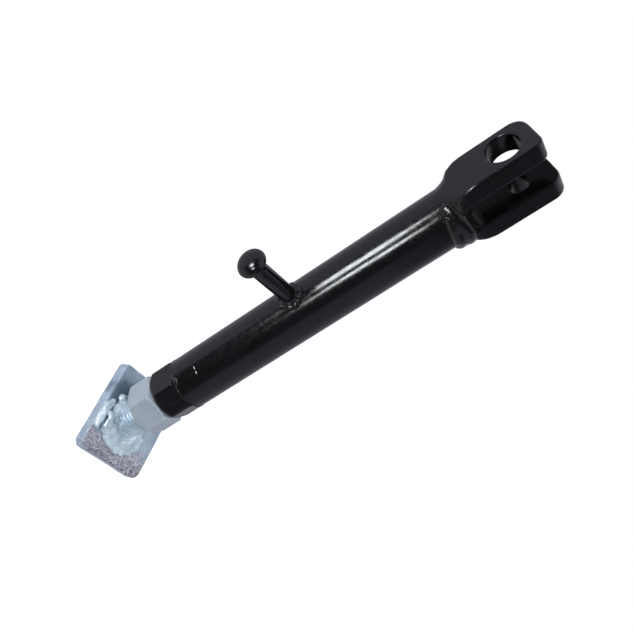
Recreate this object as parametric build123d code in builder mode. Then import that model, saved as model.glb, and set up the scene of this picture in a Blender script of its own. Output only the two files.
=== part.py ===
from build123d import *
import os
from math import sin, cos, radians

# Motorcycle kickstand with a screw-adjusted foot. Millimetres.
# Origin: centre of the pivot bore. +Z runs up the leg axis towards the fork,
# the pivot bore runs along Y, the spring post stands out towards -Y.

os.makedirs("parts", exist_ok=True)


def save(part, name):
    """Label a finished piece and write its STEP file."""
    part.label = name
    export_step(part, f"parts/{name}.step")


def radial_plane(azimuth, z=0):
    """Plane through the leg axis: local x points out at the azimuth, local y is +Z."""
    c, s = cos(radians(azimuth)), sin(radians(azimuth))
    return Plane(origin=(0, 0, z), x_dir=(c, s, 0), z_dir=(s, -c, 0))


# ================================================================ leg tube
# A plain round tube, open at both ends.
tube_od = 26.0
tube_bore = 20.0
tube_r = tube_od / 2
tube_top = -29.5         # the fork's shoulder sits here
tube_bottom = -177.5

with BuildPart() as leg_tube:
    with BuildSketch(Plane.XY.offset(tube_bottom)):
        Circle(tube_r)
        Circle(tube_bore / 2, mode=Mode.SUBTRACT)
    extrude(amount=tube_top - tube_bottom)
save(leg_tube.part, "leg_tube")

# ================================================================ fork
# Two ears, a round-bottomed slot, a shoulder that turns round to meet the
# tube, and a spigot that locates in the tube's bore.
fork_width = 31.2        # over both ears, along Y
ear_depth = 21.3         # across the ears, along X
near_ear_top = 13.5      # end of the -Y ear above the bore centre
far_ear_top = 15.5       # the +Y ear stands a little longer
ear_back_r = 6.6         # -X corner of each ear
near_ear_front_r = 4.4   # +X corner of the -Y ear
far_ear_front_r = 6.5    # +X corner of the +Y ear
shoulder_top = -17.0     # the fork starts to narrow here
shoulder_bottom = tube_top
spigot_length = 18.0
spigot_clearance = 0.02  # on the radius
slot_width = 12.4
slot_bottom = -24.2      # lowest point of the U-shaped slot
slot_overrun = 5.0       # the slot cutter rises this far past the -Y ear
slot_cut_length = 40.0   # along X, clear of both sides
pivot_bore_d = 15.0      # in the -Y ear
far_bore_d = 9.0         # in the +Y ear

# Y of the half's +Y face, top Z, +X corner radius
fork_halves = (
    (0, near_ear_top, near_ear_front_r),
    (fork_width / 2, far_ear_top, far_ear_front_r),
)

# Z, size along X, size along Y, corner radius; above the round lower end
shoulder_sections = (
    (shoulder_bottom + 5.0, 23.4, 27.8, 6.9),
    (shoulder_bottom + 8.5, 21.9, 29.7, 2.6),
    (shoulder_top, ear_depth, fork_width, 0.7),
)

slot_side = slot_width / 2
slot_arc_z = slot_bottom + slot_side
slot_cut_top = near_ear_top + slot_overrun

with BuildPart() as clevis_fork:
    for face_y, top_z, front_r in fork_halves:
        # Plane.XZ faces -Y, so each half grows towards -Y from its face
        with BuildSketch(Plane.XZ.offset(-face_y)) as ear_outline:
            with BuildLine():
                Polyline((-ear_depth / 2, shoulder_top), (ear_depth / 2, shoulder_top),
                         (ear_depth / 2, top_z), (-ear_depth / 2, top_z),
                         (-ear_depth / 2, shoulder_top))
            make_face()
            fillet(ear_outline.vertices().group_by(Axis.Y)[-1].sort_by(Axis.X)[0], ear_back_r)
            fillet(ear_outline.vertices().group_by(Axis.Y)[-1].sort_by(Axis.X)[-1], front_r)
        extrude(amount=fork_width / 2)
    # shoulder
    with BuildSketch(Plane.XY.offset(shoulder_bottom)):
        Circle(tube_r)
    for section_z, size_x, size_y, section_r in shoulder_sections:
        with BuildSketch(Plane.XY.offset(section_z)):
            RectangleRounded(size_x, size_y, section_r)
    loft()
    # spigot
    with BuildSketch(Plane.XY.offset(shoulder_bottom)):
        Circle(tube_bore / 2 - spigot_clearance)
    extrude(amount=-spigot_length)
    # slot
    with BuildSketch(Plane.YZ.offset(-slot_cut_length / 2)):
        with BuildLine():
            Polyline((-slot_side, slot_cut_top), (-slot_side, slot_arc_z))
            ThreePointArc((-slot_side, slot_arc_z), (0, slot_bottom), (slot_side, slot_arc_z))
            Polyline((slot_side, slot_arc_z), (slot_side, slot_cut_top),
                     (-slot_side, slot_cut_top))
        make_face()
    extrude(amount=slot_cut_length, mode=Mode.SUBTRACT)
    # pivot bore: towards -Y at full size, then towards +Y smaller
    for bore_d, cut_length in ((pivot_bore_d, fork_width), (far_bore_d, -fork_width)):
        with BuildSketch(Plane.XZ):
            Circle(bore_d / 2)
        extrude(amount=cut_length, mode=Mode.SUBTRACT)
save(clevis_fork.part, "clevis_fork")

# ================================================================ fork weld
# Bead at the joint of tube and fork. It covers the +X side and stops short of
# the -X side.
fork_weld_start = -58.0  # degrees round the leg, from +X
fork_weld_arc = 190.0
fork_weld_low = -34.2
fork_weld_mid = -28.6    # height of the crown of the bead
fork_weld_high = -24.6
fork_weld_peak = 2.0     # crown of the bead beyond the tube
fork_weld_root_r = tube_r - 0.5
fork_weld_trim_z = -40.0  # bottom of the cutter that clears the tube

with BuildPart() as fork_weld:
    with BuildSketch(radial_plane(fork_weld_start)):
        with BuildLine():
            Polyline((fork_weld_root_r, fork_weld_high), (fork_weld_root_r, fork_weld_low),
                     (tube_r, fork_weld_low))
            ThreePointArc((tube_r, fork_weld_low), (tube_r + fork_weld_peak, fork_weld_mid),
                          (tube_r, fork_weld_high))
            Polyline((tube_r, fork_weld_high), (fork_weld_root_r, fork_weld_high))
        make_face()
    revolve(axis=Axis.Z, revolution_arc=fork_weld_arc)
    with BuildSketch(Plane.XY.offset(fork_weld_trim_z)):
        Circle(tube_r)
    extrude(amount=tube_top - fork_weld_trim_z, mode=Mode.SUBTRACT)
    add(clevis_fork.part, mode=Mode.SUBTRACT)
save(fork_weld.part, "fork_weld")

# ================================================================ spring post
# A plain shank with a squashed round head that keeps the spring eye on.
# Profile points are (distance from the leg axis, radius from the post axis).
post_z = -107.4
post_azimuth = -82.0     # degrees round the leg, from +X
shank_r = 8.0 / 2
head_r = 13.4 / 2
post_root = 8.0          # start of the shank, before it is coped to the tube
post_under_head = 39.7   # leg axis to the underside of the head
post_top = 46.3          # leg axis to the crown of the head
cope_length = 40.0       # cutter along Z, centred on the post

head_underside_edge = (post_under_head, head_r - 2.1)
head_lower_bulge = (post_under_head + 0.8, head_r - 0.6)
head_widest = (post_under_head + 2.9, head_r)
head_upper_bulge = (post_top - 1.3, head_r - 1.9)
head_crown_edge = (post_top, head_r - 5.0)

post_section = radial_plane(post_azimuth, post_z)
post_axis = Axis((0, 0, post_z), post_section.x_dir)
cope_plane = Plane.XY.offset(post_z - cope_length / 2)

with BuildPart() as spring_post:
    with BuildSketch(post_section):
        with BuildLine():
            Polyline((post_top, 0), (post_root, 0), (post_root, shank_r),
                     (post_under_head, shank_r), head_underside_edge)
            ThreePointArc(head_underside_edge, head_lower_bulge, head_widest)
            ThreePointArc(head_widest, head_upper_bulge, head_crown_edge)
            Polyline(head_crown_edge, (post_top, 0))
        make_face()
    revolve(axis=post_axis)
    # the foot of the post is coped to the tube
    with BuildSketch(cope_plane):
        Circle(tube_r)
    extrude(amount=cope_length, mode=Mode.SUBTRACT)
save(spring_post.part, "spring_post")

# Fillet weld round the foot of the post, in the same profile coordinates.
post_weld_root_inner = (tube_r - 3.0, shank_r)
post_weld_root_outer = (tube_r - 3.0, shank_r + 4.2)
post_weld_toe = (tube_r + 0.2, shank_r + 3.6)
post_weld_hollow = (tube_r + 1.6, shank_r + 1.9)
post_weld_tip = (tube_r + 4.0, shank_r)

with BuildPart() as post_weld:
    with BuildSketch(post_section):
        with BuildLine():
            Polyline(post_weld_root_inner, post_weld_root_outer)
            Polyline(post_weld_root_outer, post_weld_toe)
            ThreePointArc(post_weld_toe, post_weld_hollow, post_weld_tip)
            Polyline(post_weld_tip, post_weld_root_inner)
        make_face()
    revolve(axis=post_axis)
    with BuildSketch(cope_plane):
        Circle(tube_r)
    extrude(amount=cope_length, mode=Mode.SUBTRACT)
save(post_weld.part, "post_weld")

# ================================================================ nuts
# Both nuts are hexagons with chamfered corners and a smooth bore that just
# clears the stud's major diameter.
nut_bore_r = 16.12 / 2
nut_af = 24.0            # across flats
nut_corner_r = nut_af / 2 / cos(radians(30))
nut_height = 14.0
nut_face_r = nut_af / 2 - 0.6    # flat end face inside the corner chamfer
nut_turned_r = nut_corner_r + 0.2  # turning profile, just clear of the corners
bore_chamfer = 1.0
nut_seat = tube_bottom - nut_height  # where the two nuts meet
jam_bottom = nut_seat - nut_height
weld_nut_angle = -57.2   # a corner of the hexagon, degrees from +X
jam_nut_angle = -63.3
weld_nut_chamfer = 2.6   # height of the lower corner chamfer on the welded nut
weld_nut_top_chamfer = 0.8
weld_nut_top_face_r = nut_corner_r - 0.6
jam_chamfer = 1.6        # both ends of the lock nut


def make_nut(name, bottom, top, angle, low_chamfer, top_chamfer, top_face_r):
    """Hexagonal prism trimmed by a turned profile; chamfers are heights along Z."""
    mouth_r = nut_bore_r + bore_chamfer
    with BuildPart() as nut:
        with BuildSketch(Plane.XY.offset(bottom)):
            RegularPolygon(nut_corner_r, 6, rotation=angle)
        extrude(amount=nut_height)
        with BuildSketch(Plane.XZ):
            with BuildLine():
                Polyline((nut_bore_r, bottom + bore_chamfer), (mouth_r, bottom),
                         (nut_face_r, bottom), (nut_turned_r, bottom + low_chamfer),
                         (nut_turned_r, top - top_chamfer), (top_face_r, top),
                         (mouth_r, top), (nut_bore_r, top - bore_chamfer),
                         (nut_bore_r, bottom + bore_chamfer))
            make_face()
        revolve(axis=Axis.Z, mode=Mode.INTERSECT)
    save(nut.part, name)


make_nut("weld_nut", nut_seat, tube_bottom, weld_nut_angle,
         weld_nut_chamfer, weld_nut_top_chamfer, weld_nut_top_face_r)
make_nut("jam_nut", jam_bottom, nut_seat, jam_nut_angle,
         jam_chamfer, jam_chamfer, nut_face_r)

# Weld bead between tube and weld nut.
nut_weld_height = 1.8
nut_weld_foot = 0.35     # beyond the tube at the nut face
nut_weld_bulge = 0.45    # beyond the tube at half height
nut_weld_top = tube_bottom + nut_weld_height

with BuildPart() as nut_weld:
    with BuildSketch(Plane.XZ):
        with BuildLine():
            Polyline((tube_r, tube_bottom), (tube_r, nut_weld_top))
            ThreePointArc((tube_r, nut_weld_top),
                          (tube_r + nut_weld_bulge, tube_bottom + nut_weld_height / 2),
                          (tube_r + nut_weld_foot, tube_bottom))
            Polyline((tube_r + nut_weld_foot, tube_bottom), (tube_r, tube_bottom))
        make_face()
    revolve(axis=Axis.Z)
save(nut_weld.part, "nut_weld")

# ================================================================ foot plane
# Top face of the ground plate: spun about Z, rolled about X, then tilted about Y.
foot_z = -219.1          # where the stud axis meets the top of the plate
foot_tilt = 36.4         # the -X end is the higher
foot_roll = -4.6
foot_spin = -5.1


def foot_dir(direction):
    """Turn a direction of the level plate into its leaning position."""
    spun = Vector(direction).rotate(Axis.Z, foot_spin)
    return spun.rotate(Axis.X, foot_roll).rotate(Axis.Y, foot_tilt)


foot_plane = Plane(origin=(0, 0, foot_z), x_dir=foot_dir((1, 0, 0)),
                   z_dir=foot_dir((0, 0, 1)))

# ================================================================ threaded stud
# Cut off at the slant of the plate it is welded to. The thread is drawn as
# pitch-spaced ridges.
thread_major_r = 16.0 / 2
thread_minor_r = 13.8 / 2
thread_pitch = 2.0
stud_top = -156.0
stud_tip_inset = 0.4     # the tip tapers in by this much on the radius
stud_tip_length = 1.2
thread_overrun = 10.0    # room below foot_z for the ridges, before the cut
stud_tail = 8.0          # plain length below the last ridge, before the cut

# radius, drop below the start of the turn
thread_form = (
    (thread_minor_r, 0), (thread_minor_r, 0.25), (thread_major_r, 0.875),
    (thread_major_r, 1.125), (thread_minor_r, 1.75),
)

turns = int((stud_top - (foot_z - thread_overrun)) / thread_pitch)
thread_top = stud_top - stud_tip_length
stud_end = thread_top - turns * thread_pitch - stud_tail
stud_profile = [(0, stud_top), (thread_minor_r - stud_tip_inset, stud_top)]
for turn in range(turns):
    turn_top = thread_top - turn * thread_pitch
    stud_profile += [(radius, turn_top - drop) for radius, drop in thread_form]
stud_profile += [(thread_minor_r, stud_end), (0, stud_end), (0, stud_top)]

with BuildPart() as threaded_stud:
    with BuildSketch(Plane.XZ):
        with BuildLine():
            Polyline(*stud_profile)
        make_face()
    revolve(axis=Axis.Z)
    split(bisect_by=foot_plane, keep=Keep.TOP)
save(threaded_stud.part, "threaded_stud")

# ================================================================ ground plate
# One corner clipped, the others rounded. Edges are in foot-plane coordinates.
plate_x0, plate_x1 = -25.8, 20.3
plate_y0, plate_y1 = -16.9, 24.7
plate_thickness = 6.0
plate_clip = 2.6         # chamfer at (plate_x1, plate_y0)

# local x, local y, radius
plate_rounds = (
    (plate_x0, plate_y0, 2.6),
    (plate_x0, plate_y1, 5.0),
    (plate_x1, plate_y1, 4.0),
)


def corner_edge(plate, x, y):
    """The edge through the plate's thickness nearest to local (x, y)."""
    upright = plate.edges().filter_by(lambda e: abs(e.length - plate_thickness) < 0.01)
    middle = foot_plane.from_local_coords((x, y, -plate_thickness / 2))
    return upright.sort_by_distance(middle)[0]


with BuildPart() as foot_plate:
    with BuildSketch(foot_plane):
        with BuildLine():
            Polyline((plate_x0, plate_y0), (plate_x1, plate_y0),
                     (plate_x1, plate_y1), (plate_x0, plate_y1), (plate_x0, plate_y0))
        make_face()
    extrude(amount=-plate_thickness)
    for corner_x, corner_y, round_r in plate_rounds:
        fillet(corner_edge(foot_plate, corner_x, corner_y), round_r)
    chamfer(corner_edge(foot_plate, plate_x1, plate_y0), plate_clip)
save(foot_plate.part, "foot_plate")

# ================================================================ foot weld
# Heavy weld bead round the root of the stud.
foot_weld_base = (13.0, 11.0)  # half-axes on the plate
foot_weld_top = (11.4, 9.4)    # half-axes at the top of the bead
foot_weld_height = 3.6
stud_cut_drop = 15.0           # the stud's cutter starts this far below foot_z
stud_cut_length = 40.0

with BuildPart() as foot_weld:
    with BuildSketch(foot_plane):
        Ellipse(*foot_weld_base)
    with BuildSketch(foot_plane.offset(foot_weld_height)):
        Ellipse(*foot_weld_top)
    loft()
    with BuildSketch(Plane.XY.offset(foot_z - stud_cut_drop)):
        Circle(thread_major_r)
    extrude(amount=stud_cut_length, mode=Mode.SUBTRACT)
save(foot_weld.part, "foot_weld")
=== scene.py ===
"""A painted leg with a forked head, and a zinc-plated ground foot screwed into its lower end.

The leg runs down Z. The origin is the middle of the bore across the fork, which runs along Y
through two ears with a slot between them. Below the fork come the tube with its side post,
a welded nut, a jam nut, and a threaded stud welded to a tilted ground plate.
Shapes are worked out in mm and become metres in add_piece; materials and stage use metres.
"""
import bpy, itertools, math
import numpy as np
from mathutils import Vector, Matrix


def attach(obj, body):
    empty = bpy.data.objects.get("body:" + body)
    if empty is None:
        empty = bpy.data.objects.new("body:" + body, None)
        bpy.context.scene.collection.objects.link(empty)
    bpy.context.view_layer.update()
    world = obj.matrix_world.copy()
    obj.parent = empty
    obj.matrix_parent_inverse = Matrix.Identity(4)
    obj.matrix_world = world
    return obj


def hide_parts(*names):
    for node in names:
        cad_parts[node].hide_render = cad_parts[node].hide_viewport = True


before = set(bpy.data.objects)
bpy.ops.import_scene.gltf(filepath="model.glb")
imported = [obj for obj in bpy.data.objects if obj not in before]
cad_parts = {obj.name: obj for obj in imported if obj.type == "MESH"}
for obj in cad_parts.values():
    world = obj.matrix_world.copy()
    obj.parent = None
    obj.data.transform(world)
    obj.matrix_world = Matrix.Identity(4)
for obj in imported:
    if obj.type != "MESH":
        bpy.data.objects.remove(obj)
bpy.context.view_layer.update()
MM = 0.001

# ============================================================ main sizes, mm
EAR_HALF_Y, EAR_HALF_X = 15.6, 10.65     # over both ears along Y, and one ear along X
NEAR_EAR_TOP, FAR_EAR_TOP = 13.5, 15.5   # near is the -Y ear, far the +Y ear
SLOT_R, SLOT_BOTTOM = 6.2, -24.2
NEAR_BORE_R, FAR_BORE_R = 7.5, 4.5
SHOULDER_TOP = -16.0
TUBE_R, TUBE_BORE_R = 13.0, 10.0
TUBE_TOP, TUBE_END = -29.5, -177.5

POST_Z, POST_ANGLE = -107.4, math.radians(-82.0)
POST_R = 4.0
HEAD_R, HEAD_AT = 6.7, 42.55             # widest radius of the post's head, and its reach
HEAD_OUTER = (3.8, 2.08)                 # length and roundness power beyond the widest place
HEAD_INNER = (3.0, 2.35)                 # the same on the tube's side of it

NUT_FLAT_R, NUT_HEIGHT = 12.0, 14.0      # half the width across flats
NUT_SEAT = TUBE_END - NUT_HEIGHT
JAM_END = NUT_SEAT - NUT_HEIGHT
WELD_NUT_ANGLE, JAM_NUT_ANGLE = math.radians(-57.2), math.radians(-63.3)

THREAD_R, THREAD_ROOT_R, THREAD_PITCH = 8.0, 6.84, 2.0
STUD_TOP, STUD_LOW = -156.0, -236.0

FOOT_Z = -219.1                          # where the leg's axis meets the plate's upper face
FOOT_TILT, FOOT_ROLL, FOOT_SPIN = 36.4, -4.6, -5.1   # degrees about Y, X and Z
PLATE_X0, PLATE_X1, PLATE_Y0, PLATE_Y1 = -25.8, 20.3, -16.9, 24.7
PLATE_THICK = 6.0


def rotate(axis, degrees, vector):
    c, s = math.cos(math.radians(degrees)), math.sin(math.radians(degrees))
    x, y, z = vector
    if axis == "x":
        return (x, c * y - s * z, s * y + c * z)
    if axis == "y":
        return (c * x + s * z, y, -s * x + c * z)
    return (c * x - s * y, s * x + c * y, z)


def foot_direction(vector):
    spun = rotate("z", FOOT_SPIN, vector)
    return np.array(rotate("y", FOOT_TILT, rotate("x", FOOT_ROLL, spun)))


# The plate's own axes: +X runs down the slope, UP leaves its upper face.
FOOT_X, FOOT_Y, FOOT_UP = (foot_direction(axis) for axis in ((1, 0, 0), (0, 1, 0), (0, 0, 1)))
FOOT_ORIGIN = np.array([0, 0, FOOT_Z])

# The post's axes: OUT along the post, UP along the leg, SIDE across both.
POST_OUT = np.array([math.cos(POST_ANGLE), math.sin(POST_ANGLE), 0.0])
POST_UP = np.array([0.0, 0.0, 1.0])
POST_SIDE = np.cross(POST_OUT, POST_UP)
POST_ORIGIN = np.array([0, 0, POST_Z])


# ============================================================ distance fields, negative inside
def norm(*parts):
    return np.sqrt(sum(part ** 2 for part in parts))


def soft_union(a, b, blend):
    h = np.clip(0.5 + 0.5 * (b - a) / blend, 0, 1)
    return b * (1 - h) + a * h - blend * h * (1 - h)


def round_and(a, b, radius):
    """Inside both, with the edge between them rounded."""
    return (np.minimum(-radius, np.maximum(a, b))
            + norm(np.maximum(a + radius, 0), np.maximum(b + radius, 0)))


def rectangle(x, y, half_x, half_y, radius):
    over_x, over_y = np.abs(x) - half_x + radius, np.abs(y) - half_y + radius
    return (np.minimum(np.maximum(over_x, over_y), 0)
            + norm(np.maximum(over_x, 0), np.maximum(over_y, 0)) - radius)


def smoothstep(x, start, end):
    t = np.clip((x - start) / (end - start), 0, 1)
    return t * t * (3 - 2 * t)


def curve(xs, ys):
    """Smooth monotone curve through the given points."""
    slopes = np.diff(ys) / np.diff(xs)
    tangents = np.zeros(len(xs))
    for i in range(1, len(xs) - 1):
        before, after = slopes[i - 1], slopes[i]
        if before * after > 0:
            tangents[i] = 2 * before * after / (before + after)

    def value(x):
        i = np.clip(np.searchsorted(xs, x) - 1, 0, len(xs) - 2)
        span = xs[i + 1] - xs[i]
        t = np.clip((x - xs[i]) / span, 0, 1)
        return ((2 * t ** 3 - 3 * t ** 2 + 1) * ys[i]
                + (t ** 3 - 2 * t ** 2 + t) * span * tangents[i]
                + (3 * t ** 2 - 2 * t ** 3) * ys[i + 1]
                + (t ** 3 - t ** 2) * span * tangents[i + 1])
    return value


LATTICE_SIDE = 32
LATTICE = np.random.RandomState(11).rand(LATTICE_SIDE, LATTICE_SIDE, LATTICE_SIDE) * 2 - 1


def noise(x, y, z, size, seed):
    """Smooth noise, -1 to 1, with features of the given size; seed shifts the lattice."""
    offset = 3.17 + 5.31 * seed
    places = [np.asarray(part, float) / size + offset * (1 + 0.37 * i)
              for i, part in enumerate((x, y, z))]
    cells = [np.floor(place).astype(int) for place in places]
    within = [place - cell for place, cell in zip(places, cells)]
    eased = [t * t * t * (t * (6 * t - 15) + 10) for t in within]
    total = 0
    for i, j, k in itertools.product((0, 1), repeat=3):
        weight = ((eased[0] if i else 1 - eased[0]) * (eased[1] if j else 1 - eased[1])
                  * (eased[2] if k else 1 - eased[2]))
        total = total + weight * LATTICE[(cells[0] + i) % LATTICE_SIDE,
                                         (cells[1] + j) % LATTICE_SIDE,
                                         (cells[2] + k) % LATTICE_SIDE]
    return total


def blobs(x, y, z, drops, blend):
    """Softened union of drops: (x, y, z, radius)."""
    field = np.full(np.shape(x), 1e3)
    for drop_x, drop_y, drop_z, radius in drops:
        field = soft_union(field, norm(x - drop_x, y - drop_y, z - drop_z) - radius, blend)
    return field


def polar(radius, angle):
    return radius * math.cos(angle), radius * math.sin(angle)


# ============================================================ meshes
PULLS = 3          # times the vertices are moved toward the true surface
PROBE = 0.02       # half the distance over which the field's slope is taken


def surface_net(field, low, high, cell):
    """Quad mesh of the surface field = 0 in a box, pulled onto the surface."""
    low = np.array(low, float)
    count = np.ceil((np.array(high, float) - low) / cell).astype(int) + 1
    axes = [low[axis] + cell * np.arange(count[axis]) for axis in range(3)]
    values = field(*np.meshgrid(*axes, indexing="ij"))
    # The outermost layer is always outside, so that every mesh is closed.
    for axis in range(3):
        layer = [slice(None)] * 3
        for end in (0, -1):
            layer[axis] = end
            values[tuple(layer)] = np.maximum(values[tuple(layer)], 0.3 * cell)
    inside = values < 0

    # One vertex per cell the surface passes through, at the mean of its edge crossings.
    def at_corner(corner):
        return values[tuple(slice(corner[i], corner[i] + count[i] - 1) for i in range(3))]

    cells = tuple(count - 1)
    sums, crossings = np.zeros(cells + (3,)), np.zeros(cells)
    for axis in range(3):
        for start in itertools.product((0, 1), repeat=3):
            if start[axis]:
                continue
            end = list(start)
            end[axis] = 1
            first, second = at_corner(start), at_corner(end)
            crossed = (first < 0) != (second < 0)
            t = np.where(crossed, first / np.where(crossed, first - second, 1), 0)
            for i in range(3):
                sums[..., i] += crossed * (start[i] + (t if i == axis else 0))
            crossings += crossed
    used = crossings > 0
    index = np.full(cells, -1)
    index[used] = np.arange(int(used.sum()))
    points = low + cell * (np.argwhere(used) + sums[used] / crossings[used][:, None])

    # One quad round every grid edge the surface crosses.
    faces = []
    for axis in range(3):
        side_a, side_b = (axis + 1) % 3, (axis + 2) % 3
        lower, upper = [slice(None)] * 3, [slice(None)] * 3
        lower[axis], upper[axis] = slice(0, count[axis] - 1), slice(1, count[axis])
        for side in (side_a, side_b):
            lower[side] = upper[side] = slice(1, count[side] - 1)
        lower_inside, upper_inside = inside[tuple(lower)], inside[tuple(upper)]
        edges = np.argwhere(lower_inside != upper_inside)
        outward = lower_inside[tuple(edges.T)]
        edges[:, side_a] += 1
        edges[:, side_b] += 1
        corners = []
        for back_a, back_b in ((1, 1), (0, 1), (0, 0), (1, 0)):
            place = edges.copy()
            place[:, side_a] -= back_a
            place[:, side_b] -= back_b
            corners.append(index[tuple(place.T)])
        quads = np.stack(corners, 1)
        quads[~outward] = quads[~outward][:, ::-1]
        faces.append(quads)

    for _ in range(PULLS):
        value = field(*points.T)
        slope = np.stack([field(*(points + shift).T) - field(*(points - shift).T)
                          for shift in PROBE * np.eye(3)], 1) / (2 * PROBE)
        steepness = np.maximum(np.linalg.norm(slope, axis=1), 0.2)
        move = np.clip(value / steepness, -0.4 * cell, 0.4 * cell)
        points = points - slope / steepness[:, None] * move[:, None]
    return points, np.concatenate(faces)


def grid_faces(around, along):
    """Quads of a grid with index i * along + j, wrapped along i."""
    i = np.arange(around)[:, None]
    j = np.arange(along - 1)[None, :]
    a = i * along + j
    b = ((i + 1) % around) * along + j
    return np.stack([a, b, b + 1, a + 1], -1).reshape(-1, 4)


def circle_angles(count):
    return np.linspace(0, 2 * math.pi, count, endpoint=False)


def link_object(name, data):
    item = bpy.data.objects.new(name, data)
    bpy.context.collection.objects.link(item)
    return item


def add_piece(name, points, faces, finish, body, cad_node=None):
    """Smooth-shaded mesh from points in mm; finish is (material, slot name), and the slot name is
    not used.
    """
    material, slot = finish
    mesh = bpy.data.meshes.new(name)
    mesh.from_pydata((points * MM).tolist(), [], [[int(i) for i in face] for face in faces])
    mesh.validate()
    mesh.polygons.foreach_set("use_smooth", [True] * len(mesh.polygons))
    mesh.materials.append(material)
    mesh.update()
    item = link_object(name, mesh)
    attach(item, body)
    if cad_node:
        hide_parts(cad_node)


# ============================================================ shader nodes
class Shader:
    """Short ways to add nodes to a material's or the world's node tree."""

    def __init__(self, tree):
        self.tree = tree
        self.coords = self.add("TexCoord").outputs

    def add(self, kind):
        return self.tree.nodes.new("ShaderNode" + kind)

    def feed(self, node, key, value):
        """Link a socket into an input, or set it to a number or an RGB colour."""
        target = node.inputs[key]
        if isinstance(value, bpy.types.NodeSocket):
            self.tree.links.new(value, target)
        else:
            target.default_value = (*value, 1) if isinstance(value, tuple) else value

    def noise(self, scale, detail=2.0, roughness=0.5, distortion=0.0):
        node = self.add("TexNoise")
        self.feed(node, "Scale", scale)
        self.feed(node, "Detail", detail)
        self.feed(node, "Roughness", roughness)
        self.feed(node, "Distortion", distortion)
        self.feed(node, "Vector", self.coords["Object"])
        return node.outputs["Fac"]

    def ramp(self, source, stops):
        """stops are (position, grey or RGB colour)."""
        node = self.add("ValToRGB")
        elements = node.color_ramp.elements
        while len(elements) > 1:
            elements.remove(elements[-1])
        for i, (position, colour) in enumerate(stops):
            element = elements[0] if i == 0 else elements.new(position)
            element.position = position
            element.color = (*(colour if isinstance(colour, tuple) else (colour,) * 3), 1)
        self.feed(node, "Fac", source)
        return node.outputs["Color"]

    def mix(self, factor, a, b):
        node = self.add("Mix")
        node.data_type = "RGBA"
        # Inputs 6 and 7 and output 2 are the colour sockets.
        for key, value in (("Factor", factor), (6, a), (7, b)):
            self.feed(node, key, value)
        return node.outputs[2]

    def math(self, operation, *values):
        node = self.add("Math")
        node.operation = operation
        for i, value in enumerate(values):
            self.feed(node, i, value)
        return node.outputs[0]

    def fade(self, value, start, end, kind="SMOOTHSTEP"):
        """0 at start, 1 at end."""
        node = self.add("MapRange")
        node.interpolation_type = kind
        self.feed(node, "From Min", start)
        self.feed(node, "From Max", end)
        self.feed(node, "Value", value)
        return node.outputs["Result"]

    def foot_distance(self, direction):
        """Metres from the plate's origin along one of its axes."""
        node = self.add("VectorMath")
        node.operation = "DOT_PRODUCT"
        self.feed(node, 0, self.coords["Object"])
        node.inputs[1].default_value = tuple(direction)
        origin = float(np.dot(direction, FOOT_ORIGIN)) * MM
        return self.math("SUBTRACT", node.outputs["Value"], origin)

    def bump(self, surface, layers):
        """layers are (height, strength, distance in metres), lowest first."""
        normal = None
        for height, strength, distance in layers:
            node = self.add("Bump")
            self.feed(node, "Strength", strength)
            self.feed(node, "Distance", distance)
            self.feed(node, "Height", height)
            if normal:
                self.feed(node, "Normal", normal)
            normal = node.outputs["Normal"]
        self.feed(surface, "Normal", normal)
        self.feed(surface, "Coat Normal", normal)


def new_material(name):
    material = bpy.data.materials.new(name)
    material.use_nodes = True
    tree = material.node_tree
    return material, Shader(tree), tree.nodes["Principled BSDF"]


# ============================================================ materials
def black_paint():
    material, shader, surface = new_material("black_paint")
    cloud = shader.noise(scale=60, detail=3)
    fine = shader.noise(scale=420)
    grit = shader.noise(scale=1900, detail=1)
    blacks = [(0.3, (0.0009, 0.0009, 0.0012)), (0.75, (0.0016, 0.0016, 0.0022))]
    shader.feed(surface, "Base Color", shader.ramp(cloud, blacks))
    shader.feed(surface, "Roughness", shader.ramp(fine, [(0.3, 0.13), (0.7, 0.21)]))

    # Painted shade: the specular is turned down on the walls of the slot so that its inside reads
    # dark; |y| and z limits of the slot, m.
    slot_side, slot_floor = 0.0066, -0.0262
    slot_shade_specular, added_gloss = 0.08, 0.42
    split = shader.add("SeparateXYZ")
    shader.feed(split, 0, shader.coords["Object"])
    across = shader.math("GREATER_THAN", shader.math("ABSOLUTE", split.outputs[1]), slot_side)
    below = shader.math("LESS_THAN", split.outputs[2], slot_floor)
    outside = shader.math("MAXIMUM", across, below)
    shader.feed(surface, "Specular IOR Level",
                shader.math("MULTIPLY_ADD", outside, added_gloss, slot_shade_specular))
    shader.feed(surface, "IOR", 1.5)
    shader.bump(surface, [(fine, 0.10, 0.00010), (grit, 0.04, 0.00002)])
    return material


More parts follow.
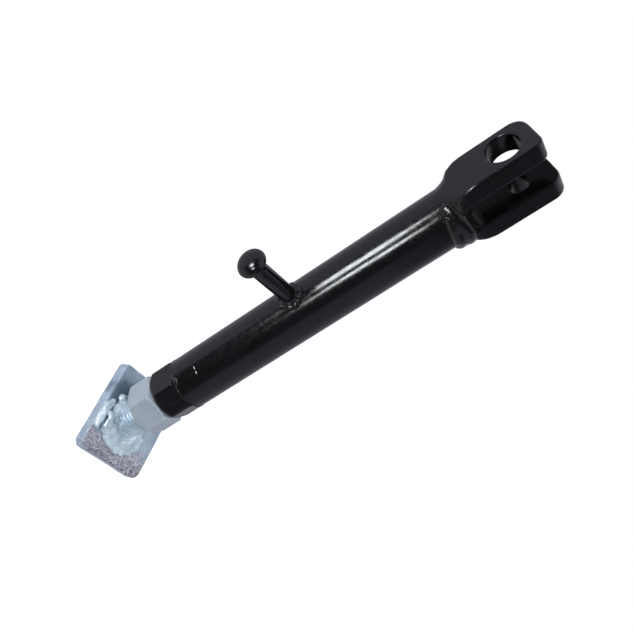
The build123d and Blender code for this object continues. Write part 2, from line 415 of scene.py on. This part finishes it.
def add_grainy_skin(shader, colour, rough, cloud, down_slope):
    """Coarse speckled skin on the upper face of the plate, at its low end."""
    wobble = shader.math("MULTIPLY", shader.math("SUBTRACT", cloud, 0.5), 0.016)
    low_end = shader.fade(shader.math("ADD", down_slope, wobble), 0.0065, 0.0125)
    height = shader.foot_distance(FOOT_UP)
    upper_face = shader.fade(height, -0.0014, -0.0006, kind="LINEAR")
    mask = shader.math("MULTIPLY", low_end, upper_face)

    small = shader.noise(scale=1700, roughness=0.7)
    large = shader.noise(scale=900, detail=3, roughness=0.7)
    small_specks = shader.ramp(small, [(0.36, (0.02, 0.02, 0.028)), (0.50, (0.20, 0.19, 0.24)),
                                       (0.66, (0.66, 0.68, 0.78))])
    large_specks = shader.ramp(large, [(0.38, (0.09, 0.08, 0.11)), (0.62, (0.40, 0.42, 0.49))])
    skin = shader.mix(0.5, small_specks, large_specks)
    # Darkest along the low edge.
    ragged = shader.math("ADD", down_slope, shader.math("MULTIPLY", wobble, 0.6))
    low_edge = shader.fade(ragged, 0.0125, 0.0200)
    dark = shader.ramp(large, [(0.42, (0.03, 0.03, 0.04)), (0.62, (0.36, 0.36, 0.43))])
    skin = shader.mix(shader.math("MULTIPLY", low_edge, 0.65), skin, dark)

    colour = shader.mix(mask, colour, skin)
    rough = shader.mix(mask, rough, (0.55, 0.55, 0.55))
    return colour, rough, shader.math("MULTIPLY", small, mask)


def add_painted_nut_reflection(shader, colour, down_slope):
    """Painted reflection of the black nut and tube in the plate: a blue-black oval beside the weld,
    with a ragged edge.
    """
    squares = []
    # Minus the centre, and the half width, m.
    for distance, shift, radius in ((down_slope, 0.0118, 0.0068),
                                    (shader.foot_distance(FOOT_Y), 0.0105, 0.0070)):
        part = shader.math("MULTIPLY", shader.math("ADD", distance, shift), 1 / radius)
        squares.append(shader.math("MULTIPLY", part, part))
    oval = shader.math("ADD", *squares)
    cloud = shader.noise(scale=260, detail=4, roughness=0.65)
    ragged = shader.math("MULTIPLY", shader.math("SUBTRACT", cloud, 0.5), 1.8)
    # Mask of the painted reflection: the ragged oval.
    reflection_mask = shader.fade(shader.math("ADD", oval, ragged), 1.3, 0.45)
    return shader.mix(shader.math("MULTIPLY", reflection_mask, 0.72), colour, (0.055, 0.085, 0.135))


def zinc(name, tints, roughness, metal=0.5, fleck=0.15, patch=150, is_plate=False):
    """Zinc plating: fleck is the strength of the fine bump, patch the scale of the clouds."""
    material, shader, surface = new_material(name)
    cloud = shader.noise(scale=patch, detail=3, roughness=0.55, distortion=0.3)
    fine = shader.noise(scale=900, detail=3)
    colour = shader.ramp(cloud, list(zip((0.3, 0.72), tints)))
    rough = shader.ramp(fine, list(zip((0.25, 0.75), roughness)))
    layers = [(fine, fleck, 0.00005)]
    if is_plate:
        down_slope = shader.foot_distance(FOOT_X)
        colour, rough, grain = add_grainy_skin(shader, colour, rough, cloud, down_slope)
        # Painted reflection of the black nut and tube, put into the plate's colour.
        colour = add_painted_nut_reflection(shader, colour, down_slope)
        layers.append((grain, 0.55, 0.00018))
    shader.feed(surface, "Base Color", colour)
    shader.feed(surface, "Roughness", rough)
    shader.feed(surface, "Metallic", metal)
    shader.bump(surface, layers)
    return material


# Finishes: (material, slot name).
PAINT = (black_paint(), "black_paint")
PLATE_ZINC = (zinc("zinc_plate", tints=((0.19, 0.24, 0.31), (0.31, 0.38, 0.46)),
                   roughness=(0.30, 0.42), is_plate=True), "zinc_plate")
NUT_ZINC = (zinc("zinc_nut", tints=((0.26, 0.30, 0.35), (0.31, 0.35, 0.40)),
                 roughness=(0.28, 0.38)), "zinc_plate")
STUD_ZINC = (zinc("zinc_stud", tints=((0.32, 0.42, 0.50), (0.50, 0.60, 0.68)),
                  roughness=(0.24, 0.34), metal=0.6), "zinc_plate")
WELD_ZINC = (zinc("zinc_weld", tints=((0.25, 0.32, 0.39), (0.50, 0.59, 0.66)),
                  roughness=(0.22, 0.30), fleck=0.05, patch=110), "zinc_weld")

# ============================================================ fork
# The shoulder from the tube up to the ears: z, half X, half Y, corner radius on the -X side.
SHOULDER = np.array([
    (-36, 12.6, 12.6, 12.6), (-33, 12.75, 12.75, 12.75), (-30.5, 13.0, 13.0, 12.9),
    (-29, 13.0, 13.05, 12.3), (-27.5, 12.75, 13.15, 11.1), (-26, 12.3, 13.45, 9.5),
    (-24.5, 11.7, 13.9, 6.9), (-23, 11.3, 14.4, 3.9), (-21.5, 11.0, 14.85, 2.7),
    (-20, 10.85, 15.2, 1.8), (-18.5, 10.75, 15.45, 1.1),
    (SHOULDER_TOP, EAR_HALF_X, EAR_HALF_Y, 0.6)])
# Corner radius on the +X side: z, radius.
PLUS_X_CORNERS = np.array([(-36, 12.6), (-33, 12.75), (-30.5, 12.9), (-28, 10.0), (-25, 4.6),
                           (-22, 2.0), (SHOULDER_TOP, 1.0)])
FORK_LOW = -32.0
EAR_REACH = 60                 # half height of the ear's outline, well past the shoulder

station_z, station_x, station_y, station_corner = SHOULDER.T
half_x_at = curve(station_z, station_x)
half_y_at = curve(station_z, station_y)
plus_corner_at = curve(*PLUS_X_CORNERS.T)
# The -X corners go on shrinking a little way up the ears.
minus_corner_at = curve(np.append(station_z, -14), np.append(station_corner, 0.4))


def fork_field(x, y, z):
    corner = np.where(x > 0, plus_corner_at(z), minus_corner_at(z))
    shoulder = rectangle(x, y, half_x_at(z), half_y_at(z), corner)
    top = np.where(y > 0, FAR_EAR_TOP, NEAR_EAR_TOP)
    top_corner = np.where(x < 0, 6.6, np.where(y > 0, 6.5, 4.4))
    outline = rectangle(x, z - (top - EAR_REACH), EAR_HALF_X, EAR_REACH, top_corner)
    edge = 1.0 + (minus_corner_at(z) - 1.0) * smoothstep(-x, 5.0, 9.0)
    ear = round_and(outline, np.abs(y) - EAR_HALF_Y, edge)
    body = np.where(z > SHOULDER_TOP, ear, np.maximum(shoulder, FORK_LOW - z))
    # A straight slot with a half-round floor, then the bore through both ears.
    slot_centre = SLOT_BOTTOM + SLOT_R
    slot = np.where(z > slot_centre, np.abs(y) - SLOT_R, norm(y, z - slot_centre) - SLOT_R)
    body = round_and(body, -slot, np.where(x > 0, 1.4, 1.2))
    bore = np.where(y > 0, FAR_BORE_R, NEAR_BORE_R) - norm(x, z)
    body = round_and(body, bore, 0.35)
    return body + 0.035 * noise(x, y, z, size=5.0, seed=1)


def build_fork():
    points, faces = surface_net(fork_field, (-14, -16.4, -33.0), (14, 16.4, 16.4), 0.36)
    add_piece("fork", points, faces, PAINT, "leg", "clevis_fork")


# ============================================================ tube
def build_tube():
    around, levels = 224, 260
    angles = circle_angles(around)
    # (radius, z) from the bore over the top edge, down the wall and back to the bore
    rings = [(TUBE_BORE_R, TUBE_TOP), (TUBE_R - 0.25, TUBE_TOP)]
    rings += [(TUBE_R, z) for z in np.linspace(TUBE_TOP, TUBE_END, levels)[1:-1]]
    rings += [(TUBE_R - 0.1, TUBE_END), (TUBE_BORE_R, TUBE_END)]
    along = len(rings)
    points = np.zeros((around, along, 3))
    for j, (radius, z) in enumerate(rings):
        x, y = radius * np.cos(angles), radius * np.sin(angles)
        level = np.full(around, z)
        uneven = radius
        if radius == TUBE_R:
            uneven = (radius + 0.018 * noise(x, y, level, size=7.0, seed=2)
                      + 0.006 * noise(x, y, level, size=2.2, seed=3))
        points[:, j] = np.stack([uneven * np.cos(angles), uneven * np.sin(angles), level], 1)
    # The bore wall closes the ring.
    bore = []
    for i in range(around):
        here, beyond = i * along, ((i + 1) % around) * along
        bore.append((here, beyond, beyond + along - 1, here + along - 1))
    faces = [*grid_faces(around, along)[:, ::-1], *bore]
    add_piece("tube", points.reshape(-1, 3), faces, PAINT, "leg", "leg_tube")


# ============================================================ weld between tube and fork
# Small hard wrinkles on the bead: angle in degrees, z, distance from the axis, radius.
FORK_WELD_WRINKLES = (
    (-55.5, -33.4, 13.1, 0.6), (-53, -33.0, 13.3, 0.6), (-48.5, -35.0, 13.1, 0.5),
    (-46, -34.5, 13.2, 0.5), (-49.5, -32.5, 13.6, 0.6), (-46.5, -32.5, 13.8, 0.55),
    (-41.5, -32.9, 14.2, 0.6), (-38.5, -32.3, 14.4, 0.6), (-35.5, -31.7, 14.5, 0.55),
    (-30.5, -31.3, 14.7, 0.5), (-37.1, -34.6, 13.6, 0.5), (-33.5, -33.8, 14.1, 0.5),
    (7.5, -25.5, 12.5, 0.6), (14, -26.8, 13.1, 0.6), (-3, -23.7, 11.8, 0.5))


def fork_weld_drops():
    """Two rows of drops that part after the start, swaying in and out as they go."""
    random = np.random.RandomState(5)
    start, sweep, count = -57, 187, 64       # degrees, degrees, drops in each row
    drops = []
    for i in range(count):
        t = i / (count - 1)
        angle = math.radians(start + sweep * t)
        spread = min(1, 3.2 * t)
        fade = min(1, 4 * t + 0.30, 7 * (1 - t) + 0.30)
        sway = 0.9 * math.sin(2.1 * i)
        # distance from the axis, z, radius
        for ring, level, radius in ((12.0, -31.5 - 0.9 * spread + sway * fade, 2.55),
                                    (12.35, -30.2 + 1.7 * spread - sway * fade, 2.6)):
            drops.append(((ring + 0.2 * random.uniform(-1, 1)) * math.cos(angle),
                          (ring + 0.2 * random.uniform(-1, 1)) * math.sin(angle),
                          level + random.uniform(-0.25, 0.25),
                          (radius + 0.15 * random.uniform(-1, 1)) * (0.70 + 0.30 * fade)))
    return drops


def build_fork_weld():
    drops = fork_weld_drops()
    wrinkles = [(*polar(ring, math.radians(degrees)), z, radius)
                for degrees, z, ring, radius in FORK_WELD_WRINKLES]

    def field(x, y, z):
        bead = soft_union(blobs(x, y, z, drops, 1.1), blobs(x, y, z, wrinkles, 0.25), 0.15)
        return np.maximum(bead, 11.0 - norm(x, y)) + 0.09 * noise(x, y, z, size=2.2, seed=4)

    points, faces = surface_net(field, (-15.9, -15.9, -36.5), (15.9, 15.9, -22.0), 0.30)
    add_piece("fork_weld_bead", points, faces, PAINT, "leg", "fork_weld")


# ============================================================ side post and its weld
def post_profile():
    """(reach from the leg's axis, radius) along the shank, over the neck and the head."""
    profile = [(10.5, POST_R), (13.0, POST_R)]
    profile += [(reach, POST_R) for reach in np.linspace(14, 38.0, 30)]
    profile += [(38.9, 4.03), (39.4, 4.2), (39.62, 4.45)]
    for turn in np.linspace(math.pi, 0, 60):
        cosine = math.cos(turn)
        length, power = HEAD_OUTER if cosine > 0 else HEAD_INNER
        reach = HEAD_AT + length * math.copysign(abs(cosine) ** (2 / power), cosine)
        radius = HEAD_R * abs(math.sin(turn)) ** (2 / power)
        # Stop short of the neck on one side and of the crown on the other.
        if radius > (0.12 if reach > HEAD_AT else 4.6):
            profile.append((reach, radius))
    return profile


def build_post():
    profile = post_profile()
    around, along = 96, len(profile)
    angles = circle_angles(around)
    outward = POST_UP * np.cos(angles)[:, None] + POST_SIDE * np.sin(angles)[:, None]
    points = np.zeros((around, along, 3))
    for j, (reach, radius) in enumerate(profile):
        ring = POST_ORIGIN + POST_OUT * reach + outward * radius
        uneven = 0.05 * noise(*ring.T, size=3.5, seed=5) * (0.4 if radius < 4.1 else 1.0)
        points[:, j] = ring + uneven[:, None] * outward
    crown = POST_ORIGIN + POST_OUT * (HEAD_AT + HEAD_OUTER[0])
    root = [i * along for i in range(around)][::-1]
    tip = [(i * along + along - 1, ((i + 1) % around) * along + along - 1, around * along)
           for i in range(around)]
    add_piece("spring_post_turned", np.concatenate([points.reshape(-1, 3), crown[None]]),
              [*grid_faces(around, along), root, *tip], PAINT, "leg", "spring_post")


def build_post_weld():
    random = np.random.RandomState(9)
    count = 26
    drops = []
    for i in range(count):
        angle = 2 * math.pi * i / count + random.uniform(-0.06, 0.06)
        up, side = polar(5.5 + random.uniform(-0.35, 0.35), angle)
        reach = math.sqrt(TUBE_R ** 2 - side * side) + 0.15 + random.uniform(-0.15, 0.15)
        centre = POST_ORIGIN + POST_OUT * reach + POST_UP * up + POST_SIDE * side
        drops.append((*centre, 1.45 + random.uniform(-0.25, 0.3)))

    def field(x, y, z):
        reach = x * POST_OUT[0] + y * POST_OUT[1]
        up, side = z - POST_Z, x * POST_SIDE[0] + y * POST_SIDE[1]
        # A fillet between tube and shank, with the drops laid on it.
        shank = norm(up, side) - POST_R
        tube = norm(x, y) - TUBE_R
        bead = soft_union(tube + 0.35, shank + 0.35, 4.4)
        bead = soft_union(bead, blobs(x, y, z, drops, 0.45), 0.7)
        bead = np.maximum(bead, norm(up, side, reach - 13.2) - 9.0)
        bead = np.maximum(bead, 11.4 - reach)
        return bead + 0.06 * noise(x, y, z, size=1.0, seed=6)

    x, y, _ = POST_OUT * 14
    points, faces = surface_net(field, (x - 10, y - 9.5, POST_Z - 10),
                                (x + 10, y + 5.5, POST_Z + 10), 0.26)
    add_piece("post_weld_bead", points, faces, PAINT, "leg", "post_weld")


# Loose drops on the tube near the post: angle in degrees, z, radius.
SPATTER = ((-64.6, -117.7, 0.55), (-62.0, -121.1, 0.45), (-74.0, -111.8, 0.5),
           (-60.0, -105.1, 0.5), (-65.0, -123.9, 0.35), (-58.0, -101.0, 0.4),
           (-70.0, -96.5, 0.35))


def spatter_drop(centre, radius):
    def field(x, y, z):
        squares = (x - centre[0]) ** 2 + (y - centre[1]) ** 2 + 0.6 * (z - centre[2]) ** 2
        return np.sqrt(squares) - radius + 0.08 * noise(x, y, z, size=0.6, seed=31)

    return surface_net(field, [c - 1.0 for c in centre], [c + 1.0 for c in centre], 0.125)


def build_spatter():
    all_points, all_faces, total = [], [], 0
    for degrees, z, radius in SPATTER:
        centre = (*polar(TUBE_R + 0.08, math.radians(degrees)), z)
        points, faces = spatter_drop(centre, radius)
        all_points.append(points)
        all_faces.append(faces + total)
        total += len(points)
    add_piece("weld_spatter", np.concatenate(all_points), np.concatenate(all_faces),
              PAINT, "leg")


# ============================================================ nuts
CHAMFER_R, CHAMFER_REACH = 11.4, 2.66    # where an end chamfer starts, and its radial extent
NUT_BORE_R, BORE_MOUTH_R = 8.06, 9.1


def nut_field(low, high, angle, low_chamfer, high_chamfer, soft, seed, uneven):
    """A nut from low to high; chamfers are heights, soft rounds its edges."""
    def field(x, y, z):
        normals = [angle + math.radians(30 + 60 * k) for k in range(3)]
        flats = [np.abs(x * math.cos(a) + y * math.sin(a)) - NUT_FLAT_R for a in normals]
        body = round_and(round_and(flats[0], flats[1], soft * 1.6), flats[2], soft * 1.6)
        radial = norm(x, y)
        low_cone, high_cone = (
            (radial - CHAMFER_R - depth * (CHAMFER_REACH / chamfer)) * 0.72
            for depth, chamfer in ((z - low, low_chamfer), (high - z, high_chamfer)))
        body = round_and(body, np.maximum(low_cone, high_cone), soft)
        body = round_and(body, np.maximum(low - z, z - high), soft)
        low_mouth, high_mouth = ((BORE_MOUTH_R - depth - radial) * 0.707
                                 for depth in (z - low, high - z))
        bore = np.maximum(NUT_BORE_R - radial, np.maximum(low_mouth, high_mouth))
        return np.maximum(body, bore) + uneven * noise(x, y, z, size=2.6, seed=seed)
    return field


def nut_mesh(low, high, cell, **shape):
    return surface_net(nut_field(low, high, **shape),
                       (-14.6, -14.6, low - 0.8), (14.6, 14.6, high + 0.8), cell)


def build_nuts():
    points, faces = nut_mesh(NUT_SEAT, TUBE_END, cell=0.30, angle=WELD_NUT_ANGLE,
                             low_chamfer=2.6, high_chamfer=0.8, soft=0.45, seed=7, uneven=0.045)
    add_piece("nut_welded", points, faces, PAINT, "leg", "weld_nut")
    points, faces = nut_mesh(JAM_END, NUT_SEAT, cell=0.26, angle=JAM_NUT_ANGLE,
                             low_chamfer=1.6, high_chamfer=1.6, soft=0.2, seed=8, uneven=0.012)
    add_piece("nut_jam", points, faces, NUT_ZINC, "lock_nut", "jam_nut")


def build_nut_weld():
    """Thin bead between tube and nut, with some drops of spatter just above it."""
    random = np.random.RandomState(21)
    count = 84
    drops = []
    for i in range(count):
        drops.append((*polar(TUBE_R - 0.45, 2 * math.pi * i / count),
                      TUBE_END + 0.35 + random.uniform(-0.2, 0.2),
                      0.66 + random.uniform(-0.06, 0.06)))
    for degrees, rise in ((-66, 1.5), (-63, 2.6), (-61, 1.3), (-58, 2.2), (-56, 1.4), (-53, 2.0)):
        drops.append((*polar(TUBE_R + 0.05, math.radians(degrees)), TUBE_END + rise, 0.72))

    def field(x, y, z):
        return (np.maximum(blobs(x, y, z, drops, 0.5), 11.6 - norm(x, y))
                + 0.03 * noise(x, y, z, size=0.9, seed=9))

    points, faces = surface_net(field, (-14.6, -14.6, TUBE_END - 1.2),
                                (14.6, 14.6, TUBE_END + 4.2), 0.28)
    add_piece("nut_weld_bead", points, faces, PAINT, "leg", "nut_weld")


# ============================================================ run of paint on the tube
# Its section: height off the tube, z from its middle.
RUN_SECTION = ((-0.10, -0.50), (0.18, -0.40), (0.19, -0.28), (0.15, -0.10),
               (0.10, 0.12), (0.05, 0.34), (0.0, 0.56), (-0.10, 0.62))
RUN_Z = -164.4


def build_paint_run():
    along, around = 40, len(RUN_SECTION)
    points = np.zeros((along, around, 3))
    for i in range(along):
        t = i / (along - 1)
        angle = math.radians(-69 + 27 * t)
        swell = 0.10 + 0.60 * math.sin(math.pi * t) ** 0.4
        middle = RUN_Z + 0.15 * math.sin(5 * t)
        for j, (lift, rise) in enumerate(RUN_SECTION):
            radius = TUBE_R + (lift * swell if lift > 0 else lift)
            points[i, j] = (*polar(radius, angle), middle + rise * swell)
    faces = []
    for i in range(along - 1):
        for j in range(around):
            here, beyond, turn = i * around, (i + 1) * around, (j + 1) % around
            faces.append((here + j, beyond + j, beyond + turn, here + turn))
    first_cap = range(around)
    last_cap = [(along - 1) * around + j for j in range(around)][::-1]
    add_piece("paint_run", points.reshape(-1, 3), [*faces, first_cap, last_cap], PAINT, "leg")


# ============================================================ threaded stud: a true helix
def build_stud():
    around, level_step = 120, 0.125
    angles = circle_angles(around)
    levels = int((STUD_TOP - STUD_LOW) / level_step) + 1
    # One pitch of the thread: flat at the root and the crest, sloping between.
    phases = np.linspace(0, 1, 65)
    root_flat, crest_flat = 0.12, 0.13
    slope = (np.abs(phases - 0.5) * 2 - root_flat) / (1 - root_flat - crest_flat)
    section = THREAD_ROOT_R + (THREAD_R - THREAD_ROOT_R) * np.clip(slope, 0, 1)
    end_radius, end_length, sunk = 6.5, 1.6, 2.2
    points = np.zeros((around, levels, 3))
    for j, z in enumerate(STUD_TOP - level_step * np.arange(levels)):
        phase = (z / THREAD_PITCH - angles / (2 * math.pi)) % 1.0
        limit = (end_radius
                 + (THREAD_R - end_radius) * np.clip((STUD_TOP - z) / end_length, 0, 1))
        radius = np.minimum(np.interp(phase, phases, section), limit)
        x, y = radius * np.cos(angles), radius * np.sin(angles)
        # Cut off at the slant of the plate, inside its thickness.
        cut = FOOT_Z - (x * FOOT_UP[0] + y * FOOT_UP[1]) / FOOT_UP[2] - sunk
        points[:, j] = np.stack([x, y, np.maximum(z, cut)], 1)
    top = [i * levels for i in range(around)]
    bottom = [i * levels + levels - 1 for i in range(around)][::-1]
    add_piece("stud_thread", points.reshape(-1, 3),
              [*grid_faces(around, levels)[:, ::-1], top, bottom],
              STUD_ZINC, "foot", "threaded_stud")


# ============================================================ ground plate
def to_leg_frame(points):
    """From the plate's own axes to the leg's."""
    return points @ np.stack([FOOT_X, FOOT_Y, FOOT_UP]) + FOOT_ORIGIN


def plate_field(x, y, z):
    middle_x, middle_y = (PLATE_X0 + PLATE_X1) / 2, (PLATE_Y0 + PLATE_Y1) / 2
    corner = np.where(y < middle_y, np.where(x > middle_x, 0.5, 2.6),
                      np.where(x > middle_x, 4.0, 5.0))
    outline = rectangle(x - middle_x, y - middle_y, (PLATE_X1 - PLATE_X0) / 2,
                        (PLATE_Y1 - PLATE_Y0) / 2, corner)
    # The +X, -Y corner is cut off straight.
    cut_corner = ((x - PLATE_X1) - (y - PLATE_Y0) + 2.6) * 0.7071
    body = round_and(outline, cut_corner, 0.6)
    body = body + (0.18 * noise(x, y, 0 * z, size=6.0, seed=12)
                   + 0.08 * noise(x, y, z, size=1.6, seed=13))
    # The upper edge is rolled over more than the lower.
    is_upper = z > -PLATE_THICK / 2
    body = round_and(body, np.where(is_upper, z, -PLATE_THICK - z),
                     np.where(is_upper, 1.0, 0.5))
    # The low end of the upper face is grainy.
    grain = (smoothstep(x, 7.0, 13.0) * 0.05 * noise(x, y, z, size=0.75, seed=15)
             * smoothstep(z, -2.0, -0.6))
    return body + 0.02 * noise(x, y, z, size=4.0, seed=14) + grain


def build_plate():
    points, faces = surface_net(plate_field, (PLATE_X0 - 1, PLATE_Y0 - 1, -PLATE_THICK - 0.8),
                                (PLATE_X1 + 1, PLATE_Y1 + 1, 0.8), 0.28)
    add_piece("ground_plate", to_leg_frame(points), faces, PLATE_ZINC, "foot", "foot_plate")


# ============================================================ heavy weld round the stud's root
# Gobs and ridges on the bead, in the plate's frame: x, y, z, radius.
FOOT_WELD_GOBS = (
    (-4.5, -14.0, 0.9, 1.7), (-2.6, -15.5, 1.0, 1.8), (-0.6, -16.0, 1.1, 1.8),
    (1.8, -15.9, 1.1, 1.8), (4.0, -15.6, 1.0, 1.7), (6.2, -15.3, 0.9, 1.7),
    (8.4, -14.9, 0.8, 1.5), (1.0, -12.4, 2.4, 1.5), (2.6, -11.2, 2.7, 1.6),
    (4.6, -10.9, 2.6, 1.6), (6.6, -10.7, 2.2, 1.6), (8.4, -10.0, 1.6, 1.6),
    (10.6, -6.6, 1.0, 1.9), (12.0, -3.6, 0.7, 1.9), (12.9, -0.6, 0.6, 1.8),
    (13.8, 2.4, 0.4, 1.7), (4.0, -10.5, 2.2, 1.4), (12.2, 6.4, 0.2, 2.4),
    (10.2, 10.0, 0.2, 2.6), (6.8, 12.8, 0.2, 2.6), (2.8, 13.8, 0.2, 2.4),
    (-9.4, -9.8, 0.8, 2.0), (-10.8, -6.0, 0.8, 2.0))


def foot_weld_drops():
    """An outer and an upper ring of drops on a wavy oval, then the gobs."""
    random = np.random.RandomState(3)
    count = 40
    drops = []
    for i in range(count):
        t = 2 * math.pi * i / count
        x = (10.6 + 1.0 * math.sin(3 * t)) * math.cos(t)
        y = (9.9 + 0.9 * math.cos(2 * t + 1)) * math.sin(t)
        size = 0.75 + 0.35 * random.rand()
        drops.append((x * 0.98, y, 0.4 + 0.5 * random.rand(), 1.9 + 0.9 * size))
        drops.append((x * 0.82, y * 0.84, 1.4 + 0.8 * random.rand(), 1.9 + 0.5 * random.rand()))
    return [*drops, *FOOT_WELD_GOBS]


def build_foot_weld():
    drops = foot_weld_drops()
    # The leg's axis leans over in the plate's frame.
    leg_axis = Vector((FOOT_X[2], FOOT_Y[2], FOOT_UP[2]))

    def field(x, y, z):
        warped_x = x + 0.5 * noise(x, y, z, size=3.0, seed=16)
        warped_y = y + 0.5 * noise(x, y, z, size=3.0, seed=17)
        bead = blobs(warped_x, warped_y, z, drops, 1.6)
        along = x * leg_axis[0] + y * leg_axis[1] + z * leg_axis[2]
        radial = np.sqrt(np.maximum(x ** 2 + y ** 2 + z ** 2 - along ** 2, 1e-9))
        collar = np.maximum(radial - 9.6 + 0.54 * z, z - 4.6)
        bead = np.maximum(soft_union(bead, collar, 1.6), -z - 1.0)
        return bead + 0.20 * noise(x, y, z, size=2.2, seed=18)

    points, faces = surface_net(field, (-15, -19, -1.4), (17.5, 18, 7.0), 0.28)
    add_piece("foot_weld_bead", to_leg_frame(points), faces, WELD_ZINC, "foot", "foot_weld")


# ============================================================ camera, floor, world and lights
def place(item, axes, at):
    """Set an object's X, Y and Z directions and its place."""
    matrix = Matrix(axes).transposed().to_4x4()
    matrix.translation = Vector(at)
    item.matrix_world = matrix


def add_camera():
    data = bpy.data.cameras.new("camera")
    camera = link_object("camera", data)
    right = (0.2230032, 0.5274680, 0.8197847)
    up = (-0.6793753, -0.5189956, 0.5187415)
    back = (0.6990842, -0.6726226, 0.2426110)
    place(camera, (right, up, back), at=(0.1972837, -0.1813541, -0.0376683))
    data.sensor_width = 36.0
    data.lens = 34.1232227
    data.clip_start = 0.01
    data.clip_end = 20.0
    bpy.context.scene.camera = camera


def add_floor():
    """A bright floor that only the camera sees."""
    mesh = bpy.data.meshes.new("floor")
    half, z = 3.0, -0.285
    corners = [(-half, -half, z), (half, -half, z), (half, half, z), (-half, half, z)]
    mesh.from_pydata(corners, [], [(0, 1, 2, 3)])
    floor = link_object("floor", mesh)
    material = bpy.data.materials.new("floor")
    material.use_nodes = True
    nodes, links = material.node_tree.nodes, material.node_tree.links
    nodes.clear()
    output = nodes.new("ShaderNodeOutputMaterial")
    glow = nodes.new("ShaderNodeEmission")
    glow.inputs["Strength"].default_value = 0.97
    diffuse = nodes.new("ShaderNodeBsdfDiffuse")
    diffuse.inputs["Color"].default_value = (0.10, 0.10, 0.10, 1)
    both = nodes.new("ShaderNodeAddShader")
    links.new(glow.outputs[0], both.inputs[0])
    links.new(diffuse.outputs[0], both.inputs[1])
    links.new(both.outputs[0], output.inputs["Surface"])
    mesh.materials.append(material)
    floor.visible_glossy = False
    floor.visible_diffuse = False
    floor.visible_shadow = False


# Brightness of the surroundings by compass angle: degrees from +X, brightness.
LOW_SURROUND = ((-180, 0.50), (-150, 0.52), (-106, 0.62), (-97, 0.12), (-40, 0.08), (-10, 0.13),
                (-2, 0.38), (60, 0.40), (120, 0.42), (180, 0.50))
HIGH_SURROUND = ((-180, 0.50), (-150, 0.54), (-106, 0.60), (-97, 0.14), (-40, 0.09), (0, 0.09),
                 (45, 0.12), (75, 0.26), (110, 0.50), (135, 0.50), (180, 0.50))


def surround_stops(table):
    return [((degrees + 180) / 360.0, (0.95 * grey, 0.98 * grey, 1.12 * grey))
            for degrees, grey in table]


def set_world():
    """White to the camera; to the pieces, a surround that varies by angle and height."""
    scene = bpy.context.scene
    # The loaded scene may already have a world.
    world = scene.world or bpy.data.worlds.new("studio")
    scene.world = world
    world.use_nodes = True
    world.node_tree.nodes.clear()
    shader = Shader(world.node_tree)
    output = shader.add("OutputWorld")
    split = shader.add("SeparateXYZ")
    shader.feed(split, 0, shader.coords["Generated"])
    x, y, z = split.outputs
    angle = shader.math("MULTIPLY_ADD", shader.math("ARCTAN2", y, x), 1 / (2 * math.pi), 0.5)
    low = shader.ramp(angle, surround_stops(LOW_SURROUND))
    high = shader.ramp(angle, surround_stops(HIGH_SURROUND))
    colour = shader.mix(shader.fade(z, -0.15, 0.05), low, high)
    colour = shader.mix(shader.fade(z, 0.45, 0.80), colour, (0.62, 0.64, 0.67))
    colour = shader.mix(shader.fade(z, -0.50, -0.85), colour, (0.55, 0.55, 0.56))
    surround = shader.add("Background")
    shader.feed(surround, "Color", colour)
    white = shader.add("Background")
    shader.feed(white, "Color", (1, 1, 1))
    choice = shader.add("MixShader")
    shader.feed(choice, 0, shader.add("LightPath").outputs["Is Camera Ray"])
    shader.feed(choice, 1, surround.outputs[0])
    shader.feed(choice, 2, white.outputs[0])
    shader.feed(output, "Surface", choice.outputs[0])


def add_area(name, at, aim, width, height, power, colour=(1, 1, 1), up=(0, 0, 1)):
    data = bpy.data.lights.new(name, "AREA")
    data.shape = "RECTANGLE"
    data.size, data.size_y = width, height
    data.energy = power
    data.color = colour
    light = link_object(name, data)
    back = (Vector(at) - Vector(aim)).normalized()
    right = Vector(up).cross(back).normalized()
    place(light, (right, back.cross(right), back), at)
    light.visible_camera = False
    return light


# Two tall strips make the pair of streaks along the tube:
# name, angle in degrees, width, z, height, power for its area (over pi).
STRIPS = (("strip_a", -83, 0.18, -0.178, 0.225, 24.0),
          ("strip_b", -57, 0.105, -0.170, 0.215, 26.0))
STRIP_DISTANCE, STRIP_LEAN = 0.80, 0.55
# Broad soft lights, kept out of reflections: name, place, size, power.
SOFT_LIGHTS = (("overhead", (0.25, 0.35, 0.95), 0.9, 14.0), ("front", (0.8, -0.8, 0.35), 0.7, 13.0),
               ("side", (-0.7, -0.9, 0.1), 0.7, 12.0), ("low", (0.9, 0.3, -0.3), 0.7, 7.0))


def add_lights():
    for name, degrees, width, z, height, strength in STRIPS:
        angle = math.radians(degrees)
        add_area(name, at=(*polar(STRIP_DISTANCE, angle), z), aim=(0, 0, z),
                 width=width, height=height, power=strength * math.pi * width * height,
                 colour=(0.95, 0.98, 1.0),
                 up=(-STRIP_LEAN * math.sin(angle), STRIP_LEAN * math.cos(angle), 1))
    for name, at, size, power in SOFT_LIGHTS:
        light = add_area(name, at, aim=(0, 0, -0.2), width=size, height=size, power=power)
        light.visible_glossy = False


build_fork()
build_tube()
build_fork_weld()
build_post()
build_post_weld()
build_spatter()
build_nuts()
build_nut_weld()
build_paint_run()
build_stud()
build_plate()
build_foot_weld()
add_camera()
add_floor()
set_world()
add_lights()

view = bpy.context.scene.view_settings
view.view_transform = "Standard"
view.look = "None"
view.exposure = 0.0
view.gamma = 1.0
